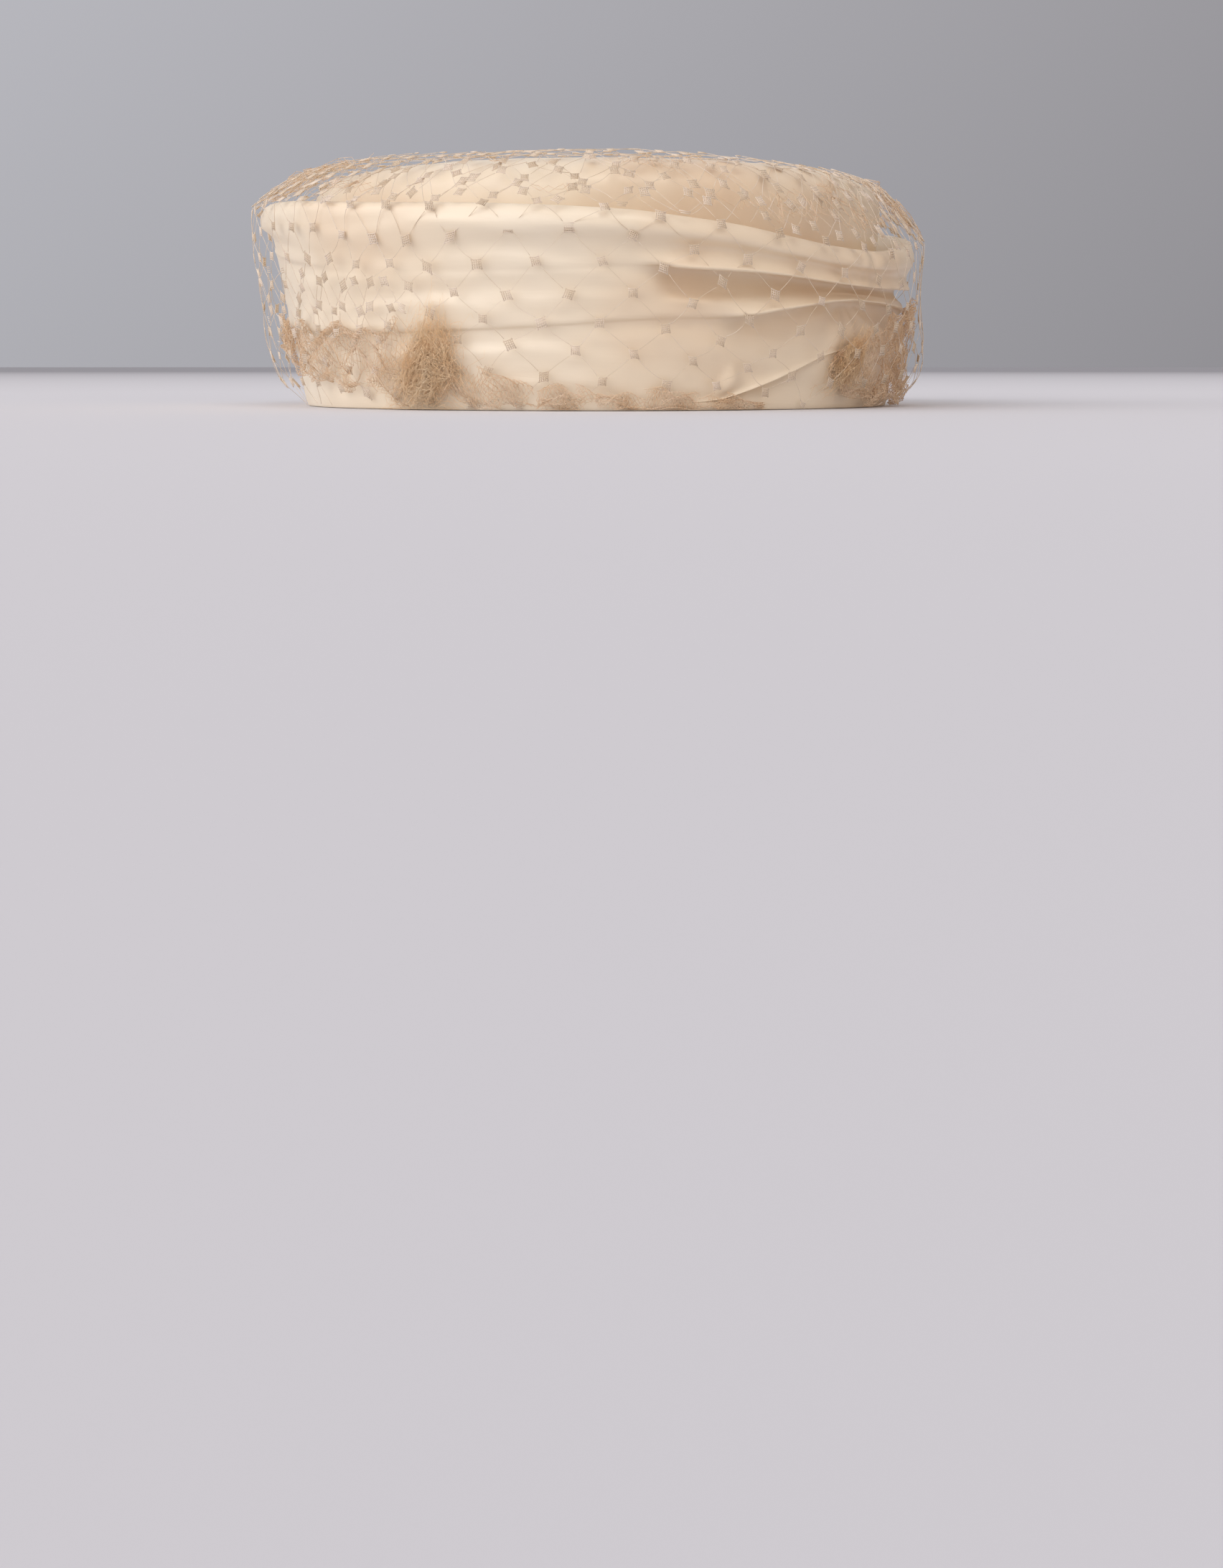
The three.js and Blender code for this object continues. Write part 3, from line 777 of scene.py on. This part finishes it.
def side_knots(row, column, seed, shift):
    """Places of knots by (azimuth, distance): an even lattice, moved by the shift and pulled out of true
    by slow and quick ripples."""
    azimuth = column_azimuths(column + shift[0])
    distance = MESH_HALF_TALL * row + shift[1]
    across = 1.1 * ripples(azimuth, distance, seed, 9, 30.0)
    across = across + 0.5 * ripples(azimuth, distance, seed + 1, 60, 9.0)
    upward = 1.2 * ripples(azimuth, distance, seed + 2, 8, 30.0)
    upward = upward + 0.5 * ripples(azimuth, distance, seed + 3, 60, 9.0)
    return np.stack([azimuth + across / DEGREE, distance + upward], axis=-1)


def crown_knots(row, column, seed):
    """Places of knots by (x, y) in plan: a flat lattice, pulled out of true in the same way."""
    along, up = 2 * MESH_HALF_WIDE * column, MESH_HALF_TALL * row
    x, y = NET_TURN @ np.array([along, up])
    across = 2.2 * waves(x, y, seed, 60.0) + 0.5 * waves(x, y, seed + 1, 9.0)
    upward = 2.2 * waves(x, y, seed + 2, 60.0) + 0.5 * waves(x, y, seed + 3, 9.0)
    return np.stack([x + across, y + upward], axis=-1)


def net_layer(name, rows, columns, places, unit, surface, keep, seed):
    """A layer of knotted net: a staggered lattice whose threads run from corner to corner of the knots,
    bowing a little, and whose knots are little woven squares of five strands each way, a little askew,
    with hollow sides. `places` gives the knots on a flat sheet in which a millimetre measures `unit`,
    `surface` lays that sheet on the hat, and `keep` says where there is net."""
    random = np.random.default_rng(seed)
    row, column = (grid.ravel() for grid in np.meshgrid(rows, columns, indexing="ij"))
    column = column + 0.5 * (row % 2)
    knots = places(row, column)
    half = KNOT / 2 * np.array(unit)
    t = np.linspace(0, 1, 8)
    threads = []
    for side in (-1, 1):
        start = knots + half * (side, -1)
        end = places(row - 1, column + side / 2) + half * (-side, 1)
        bow = random.normal(0, 0.16, (len(knots), 1, 2)) * half * np.sin(np.pi * t)[:, None]
        threads.append(start[:, None] + (end - start)[:, None] * t[:, None] + bow)
    threads = np.concatenate(threads)
    turn = random.normal(0, 0.2, (len(knots), 1, 1))
    size = random.uniform(0.8, 1.08, (len(knots), 1, 1))
    place, strand = np.meshgrid(np.linspace(-0.8, 0.8, 5), [-1.0, 1.0], indexing="ij")
    strand = strand * (0.72 + 0.44 * place**2)
    u = np.concatenate([strand, place])[None] * size
    v = np.concatenate([place, strand])[None] * size
    skew = random.normal(0, 0.16, (2, len(knots), 1, 1))
    u, v = u + skew[0] * v, v + skew[1] * u
    flat = np.stack([u * np.cos(turn) - v * np.sin(turn), u * np.sin(turn) + v * np.cos(turn)], axis=-1)
    strands = (knots[:, None, None] + flat * half).reshape(-1, 2, 2)
    threads, strands = threads[keep(threads)], strands[keep(strands)]
    points, faces = joined([tubes(surface(threads), THREAD), tubes(surface(strands), KNOT_THREAD)])
    add_piece(name, points, faces, net_thread, "veil")


def make_veil():
    """The veil: round the side a lattice whose rows follow the band's top edge, over the crown a flat
    one, and more layers where it is doubled, round the crown's shoulder and at the left back above the
    roll."""

    def between(low, high):
        """Says which lines lie whole between two distances and above the hem."""
        def keep(lines):
            lowest, highest = lines[..., 1].min(axis=1), lines[..., 1].max(axis=1)
            return (section(lines[:, 0, 0])["edge"] + lowest > 0.4) & (lowest > low) & (highest < high)
        return keep

    def on_crown(lines):
        """Says which lines lie whole inside the band's top edge."""
        azimuth, radius = plan_ring(lines)
        return (radius / lean_radius(section(azimuth), section(azimuth)["edge"])).max(axis=1) < 0.97

    def doubled(lines):
        """Says which lines lie in the ragged patch at the left back."""
        aside = np.abs((lines[:, 0, 0] - DOUBLED_AT + 180) % 360 - 180)
        return between(-40, -18)(lines) & (aside < DOUBLED_HALF - 3 * np.sin(lines[:, 0, 1]))

    def side_layer(name, low, high, keep, seed, lift=0.0, shift=(0.0, 0.0)):
        """A layer by azimuth and distance, from row low up to row high."""
        net_layer(name, np.arange(low, high), np.arange(NET_COLUMNS),
                  lambda row, column: side_knots(row, column, seed, shift), (1 / DEGREE, 1.0),
                  lambda flat: veil_points(flat, lift), keep, seed)

    side_layer("veil_side", -8, 2, between(-99, 12), seed=50)
    net_layer("veil_crown", np.arange(-17, 18), np.arange(-8, 9),
              lambda row, column: crown_knots(row, column, 55), (1.0, 1.0), crown_points, on_crown, 55)
    side_layer("veil_shoulder", 0, 4, between(0.5, 28), seed=60, lift=0.5, shift=(0.3, 2.0))
    side_layer("veil_bunched", 0, 4, between(0.5, 28), seed=80, lift=0.9, shift=(0.7, 5.0))
    side_layer("veil_doubled", -6, -1, doubled, seed=70, lift=0.6, shift=(0.4, 3.0))


# --------------------------------------------------
# The gathered net: rolls and tufts
# --------------------------------------------------

ROLL_MESH, HAZE_MESH, TUFT_MESH = 1.25, 1.8, 0.85  # side of a mesh of the fine net
ROLL_THREAD, HAZE_THREAD, TUFT_THREAD = 0.06, 0.055, 0.04  # radius of its thread
TUFT_FIBRE = 0.03  # radius of a loose fibre
ROLL_SLACK = 1.3  # how much wider a roll's sheet is than its plies laid flat
PLEAT = 4.2  # width of a pleat in it
TUFT_SHEET = 46  # side of the sheet that a tuft is crumpled from
HAZE_START, HAZE_WIDE = 5.5, 17  # how far inside the band's top edge the haze starts, and its width

# The rolls: their azimuth, their lower and upper edge there, and how far they stand off the satin.
ROLLS = {
    "left": [(-104, 21, 24.5, 1.0), (-92, 19, 25.5, 2.0), (-78, 16.5, 24.5, 2.6), (-64, 10.5, 22.5, 3.0),
             (-54, 9, 22.5, 3.4), (-45, 8, 23, 3.6), (-34, 3, 21, 3.6)],
    "back": [(-26, 3, 15, 3.4), (-20, 2, 11.5, 3.0), (-11, 0.8, 6.5, 2.4), (0, 0.6, 4.6, 1.8),
             (12, 0.6, 4.0, 1.5), (22, 0.6, 3.4, 1.2), (31, 0.6, 2, 0.8)],
    "right": [(45, 8, 14, 1.2), (52, 4, 20, 2.4), (60, 1.5, 24, 3.2), (68, 2.5, 27.5, 3.8),
              (80, 4, 28.5, 4.0), (92, 9, 27.5, 3.0), (102, 15, 26.5, 2.0), (110, 20, 25.5, 1.0)],
}  # fmt: skip


def fine_mesh(length, width, mesh):
    """Both diagonals of each square of a flat net, as lines of two points in (along, across)
    millimetres."""
    i, j = np.meshgrid(np.arange(int(length / mesh)), np.arange(int(width / mesh)), indexing="ij")
    corner = np.stack([i, j], axis=-1).reshape(-1, 1, 2)
    diagonals = [corner + np.array([[0, 0], [1, 1]]), corner + np.array([[0, 1], [1, 0]])]
    return np.concatenate(diagonals) * mesh


def near_satin(azimuth, height, off):
    """Points that stand off the straight lean of the satin."""
    height = np.maximum(height, 0.4)
    return ring_points(lean_radius(section(azimuth), height) + off, azimuth, height)


def make_roll(side, seed, plies, bare):
    """A roll of gathered net: a sheet of fine net folded up and down between the roll's two edges, each
    ply further out than the last, drawn into pleats that run along the roll, and crumpled. It has ragged
    holes, and more of them the higher `bare` is."""
    table = np.array(ROLLS[side], float)
    azimuth = table[:, 0]
    along = (azimuth[-1] - azimuth[0]) * DEGREE
    across = np.mean(table[:, 2] - table[:, 1]) * plies * ROLL_SLACK
    lines = fine_mesh(along, across, ROLL_MESH)
    middle = lines.mean(axis=1)
    lines = lines[waves(middle[:, 0], middle[:, 1], seed, 9.0) > bare]
    u, v = lines[..., 0], lines[..., 1]
    turned = azimuth[0] + u / DEGREE
    low, high, depth = (cubic(azimuth, table[:, k], turned) for k in (1, 2, 3))
    ply = v / across * plies
    fold = 0.5 - 0.5 * np.cos(np.pi * ply)
    pleat = 2 * np.pi * v / PLEAT + 1.5 * waves(u, v, seed + 4, 40.0)
    crumple = 1.7 * waves(u, v, seed + 1, 9.0) + 0.8 * np.cos(pleat)
    up = low + (high - low) * fold + crumple * (0.3 + 0.2 * depth)
    crumple = 0.36 * np.sin(pleat) + 0.22 * waves(u, v, seed + 2, 9.0)
    off = 1.0 + depth * (0.2 + 0.6 * ply / plies + crumple)
    turned = turned + 0.8 * waves(u, v, seed + 3, 10.0) / DEGREE
    points, faces = tubes(near_satin(turned, up, np.maximum(off, 0.6)), ROLL_THREAD)
    add_piece(f"bunched_net_{side}", points, faces, bunched_thread, f"net_roll_{side}")


def make_tuft(side, azimuth, height, wide, thick, tall, seed, fibres):
    """A tuft: a sheet of fine net crumpled by three smooth random fields, squashed into a ball by
    q / sqrt(1 + q^2) and thinned towards its outside, with fine fibres that curl out of it. It is then
    as wide, thick and tall as asked, and it narrows and leans to the right as it rises."""
    random = np.random.default_rng(seed)
    lines = fine_mesh(TUFT_SHEET, TUFT_SHEET, TUFT_MESH)
    u, v = lines[..., 0], lines[..., 1]
    ball = np.stack([waves(u, v, seed + k, 13.0) for k in (1, 2, 3)], axis=-1)
    ball = ball / np.sqrt(1 + (ball**2).sum(axis=-1, keepdims=True)) * 1.12
    thinning = 0.15 + 0.75 * smooth_step(np.linalg.norm(ball.mean(axis=1), axis=-1), 0.4, 1.0)
    ball = ball[random.random(len(ball)) > thinning]
    t = np.linspace(0, 1, 8)[:, None]
    start = random.normal(0, 1, (fibres, 1, 3))
    start *= random.uniform(0.2, 1, (fibres, 1, 1)) / np.linalg.norm(start, axis=-1, keepdims=True)
    reach = random.normal(0, 0.5, (fibres, 1, 3))
    curl = random.normal(0, 0.3, (2, fibres, 1, 3))
    hair = start + reach * t + curl[0] * np.sin(np.pi * t) + 0.5 * curl[1] * np.sin(2.6 * np.pi * t)

    def place(local):
        """Points of the ball, laid beside the satin."""
        right = wide * (local[..., 0] * (1 - 0.35 * local[..., 2]) + 0.35 * local[..., 2])
        out, up = thick * (local[..., 1] + 0.95), tall * local[..., 2]
        return near_satin(azimuth + right / DEGREE, height + up, np.maximum(out, 0))

    points, faces = joined([tubes(place(ball), TUFT_THREAD), tubes(place(hair), TUFT_FIBRE)])
    add_piece(f"tufted_net_{side}", points, faces, tufted_thread, f"net_tuft_{side}")


def make_haze():
    """Fine net bunched in small patchy crumples round the crown's shoulder, among the layers of knotted
    net, and thinner at the back and the front."""
    lines = fine_mesh(360 * DEGREE, HAZE_WIDE, HAZE_MESH)
    lines = np.stack([lines[..., 0] / DEGREE - 180, lines[..., 1]], axis=-1)
    middle = lines.mean(axis=1)
    thin = 0.6 * np.abs(np.cos(np.radians(middle[:, 0]))) ** 3
    lines = lines[ripples(middle[:, 0], middle[:, 1], 90, 30, 12.0) > thin]
    along, across, off = (ripples(lines[..., 0], lines[..., 1], 91 + k, 70, 7.0) for k in range(3))
    crumpled = lines + np.stack([1.2 * along / DEGREE, HAZE_START + 1.6 * across], axis=-1)
    points, faces = tubes(veil_points(crumpled, 0.3 + 1.1 * off), HAZE_THREAD)
    add_piece("veil_haze", points, faces, bunched_thread, "veil")


def make_gathers():
    """The three rolls, the two tufts and the haze of net round the crown."""
    make_haze()
    make_roll("left", seed=100, plies=2.2, bare=-0.8)
    make_roll("back", seed=110, plies=3.2, bare=-0.5)
    make_roll("right", seed=120, plies=2.2, bare=-0.55)
    make_tuft("left", azimuth=-29.5, height=12.4, wide=9.6, thick=3.0, tall=11.6, seed=200, fibres=700)
    make_tuft("right", azimuth=49.6, height=13.5, wide=6.0, thick=2.6, tall=6.8, seed=210, fibres=400)


# --------------------------------------------------
# Camera, floor and light
# --------------------------------------------------

CAMERA_AWAY = 686.0  # from the hat's axis
CAMERA_HEIGHT = 12.0  # above the floor, and so below the hat's middle
LENS = 48.6
SENSOR = 36.0  # along the frame's height
AIM_HEIGHT = 31.0  # of the place on the hat's axis that the camera is aimed by
AIM_LEFT, AIM_UP = 0.00916, 0.3054  # from the frame's middle to that place, as shares of its height


def make_camera():
    """A camera behind the hat and almost on the floor, pitched and turned so that the hat is high in the
    frame and a little left of its middle."""
    data = bpy.data.cameras.new("camera")
    data.lens, data.sensor_width = LENS, SENSOR
    data.clip_start = 0.005
    camera = bpy.data.objects.new("camera", data)
    bpy.context.scene.collection.objects.link(camera)
    camera.location = (AXIS[0] * MM, (AXIS[1] - CAMERA_AWAY) * MM, CAMERA_HEIGHT * MM)
    rise = math.atan((AIM_HEIGHT - CAMERA_HEIGHT) / CAMERA_AWAY)
    pitch = rise - math.atan(AIM_UP * SENSOR / LENS)
    yaw = -math.atan(AIM_LEFT * SENSOR / LENS)
    camera.rotation_euler = (math.radians(90) + pitch, 0, yaw)
    bpy.context.scene.camera = camera


FLOOR_STEPS = 96
FLOOR_HEIGHT = -0.02  # just below the rim


def make_floor():
    """A level paper floor: a disc that reaches past the horizon of every view."""
    azimuth = np.radians(np.arange(FLOOR_STEPS) * 360 / FLOOR_STEPS)[:, None]
    radius = np.array([0.5, 400.0, 1500.0, 30000.0])
    x, y = radius * np.sin(azimuth), radius * np.cos(azimuth)
    points = np.stack(np.broadcast_arrays(x, y, FLOOR_HEIGHT), axis=-1)
    mesh = bpy.data.meshes.new("floor")
    faces = grid_faces(FLOOR_STEPS, len(radius), True, False)
    mesh.from_pydata((points.reshape(-1, 3) * MM).tolist(), [], faces[:, ::-1].tolist())
    mesh.materials.append(paper_with_painted_falloff())
    floor = bpy.data.objects.new("floor", mesh)
    bpy.context.scene.collection.objects.link(floor)


def make_light(name, towards, spread, strength, hex_value):
    """A soft light from a far panel that fills `spread` degrees of the view from the hat, in the
    direction `towards`."""
    data = bpy.data.lights.new(name, "SUN")
    data.angle, data.energy, data.color = math.radians(spread), strength, colour(hex_value)[:3]
    light = bpy.data.objects.new(name, data)
    bpy.context.scene.collection.objects.link(light)
    light.rotation_euler = Vector(towards).to_track_quat("Z", "Y").to_euler()


def make_studio():
    """Soft light from the upper left behind the camera, a weak warm fill from the right, and one from
    above, in a grey room that is darker to the right and brighter overhead."""
    make_light("key", (-2.1, -1.4, 0.5), 85, 2.42, "#fffaf8")
    make_light("fill", (1.9, -1.3, 0.5), 60, 0.44, "#ffdcb4")
    make_light("top", (0.4, -1.0, 1.9), 30, 0.55, "#fffaf0")
    world = bpy.data.worlds.new("studio")
    world.use_nodes = True
    tree = world.node_tree
    direction = node(tree, "ShaderNodeTexCoord").outputs["Generated"]
    axes = node(tree, "ShaderNodeSeparateXYZ", links={"Vector": direction}).outputs
    rightward = node(tree, "ShaderNodeMath", settings={"operation": "MULTIPLY_ADD"},
                     inputs={1: 1.3, 2: 0.5}, links={0: axes["X"]})
    upward = node(tree, "ShaderNodeMath", settings={"operation": "MULTIPLY_ADD"},
                  inputs={1: 0.8, 2: 1.0}, links={0: axes["Z"]})
    grey = ramp(tree, rightward.outputs["Value"], [(0.0, "#b3b3b9"), (0.5, "#a2a1a6"), (1.0, "#8c8a8e")])
    tree.links.new(grey, tree.nodes["Background"].inputs["Color"])
    tree.links.new(upward.outputs["Value"], tree.nodes["Background"].inputs["Strength"])
    bpy.context.scene.world = world
    bpy.context.scene.view_settings.view_transform = "Standard"


make_camera()
make_floor()
make_studio()
band = make_band()
crown = make_crown()
facing = make_facing()
make_stitches()
make_veil()
make_gathers()
